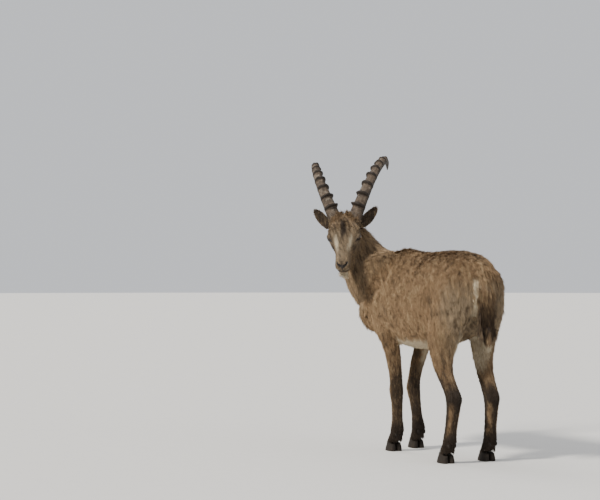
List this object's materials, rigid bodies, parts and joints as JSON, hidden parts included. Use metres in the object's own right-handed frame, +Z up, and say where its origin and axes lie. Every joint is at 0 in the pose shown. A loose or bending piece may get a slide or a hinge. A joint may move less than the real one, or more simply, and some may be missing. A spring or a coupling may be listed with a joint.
{
  "type": "ibex model",
  "caption": "Life-size standing young male mountain goat with ridged horns that curve back, its head turned over its left side.",
  "frame": {"origin": "on the floor under the middle of the bounding box", "axes": "+X the way the trunk faces, +Y to the animal's left, +Z up"},
  "size_m": [1.2921, 0.4568, 1.252],
  "materials": {
    "coat": "short dense hair, tan brown, dark on the lower legs and tail, pale on the belly",
    "horn": "ridged horn, dark brown with greyer stretches between the ridges",
    "eye": "polished, amber brown with a dark level pupil",
    "hoof": "dull dark horn"
  },
  "bodies": {
    "root": {"torso": "coat", "neck": "coat", "head": "coat", "tail": "coat", "leg_fore_left": "coat", "leg_fore_right": "coat", "leg_hind_left": "coat", "leg_hind_right": "coat", "horn_left": "horn", "horn_right": "horn", "eye_left": "eye", "eye_right": "eye", "hoof_fore_left_outer": "hoof", "hoof_fore_left_inner": "hoof", "hoof_fore_right_outer": "hoof", "hoof_fore_right_inner": "hoof", "hoof_hind_left_outer": "hoof", "hoof_hind_left_inner": "hoof", "hoof_hind_right_outer": "hoof", "hoof_hind_right_inner": "hoof", "dewclaw_fore_left_outer": "hoof", "dewclaw_fore_left_inner": "hoof", "dewclaw_fore_right_outer": "hoof", "dewclaw_fore_right_inner": "hoof", "dewclaw_hind_left_outer": "hoof", "dewclaw_hind_left_inner": "hoof", "dewclaw_hind_right_outer": "hoof", "dewclaw_hind_right_inner": "hoof"}
  },
  "joints": []
}
